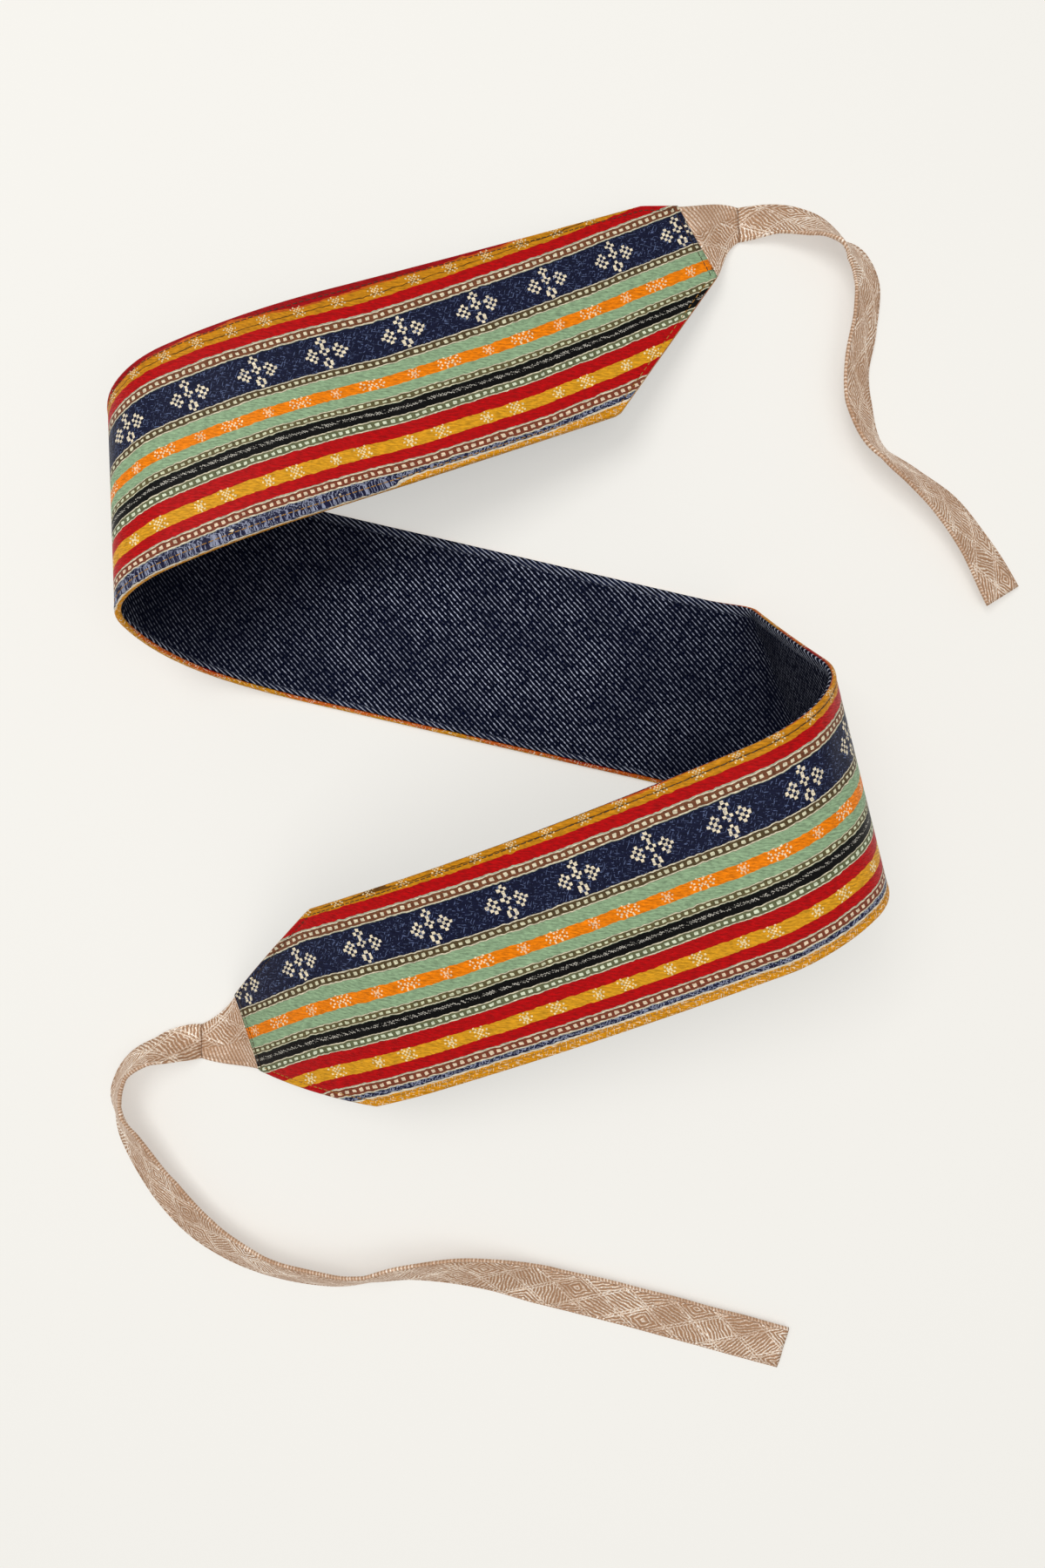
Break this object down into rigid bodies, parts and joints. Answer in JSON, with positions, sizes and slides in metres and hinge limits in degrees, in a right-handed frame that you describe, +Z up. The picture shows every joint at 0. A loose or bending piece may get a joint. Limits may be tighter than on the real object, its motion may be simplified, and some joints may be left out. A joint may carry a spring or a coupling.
{
  "type": "obi belt",
  "caption": "Wide wrap belt of striped brocade lined with denim, with pointed ends, tabs and narrow ties, laid in open rolls on a table",
  "frame": {"origin": "centre of the bounding box in X and Y, on the table at Z = 0 where the middle stretch rests", "axes": "+X to the right and +Y away as the picture shows the laid belt from above, +Z up off the table"},
  "size_m": [0.4782, 0.6126, 0.1384],
  "materials": {
    "brocade": "striped brocade ribbon weave with a silky sheen",
    "denim": "dark indigo cotton twill, matt",
    "jacquard": "rose-gold metallic jacquard, glossy figures on a satin ground"
  },
  "bodies": {
    "root": {"front_panel": "brocade", "lining_panel": "denim", "tab_upper": "jacquard", "tab_lower": "jacquard", "tie_upper": "jacquard", "tie_lower": "jacquard"}
  },
  "joints": []
}
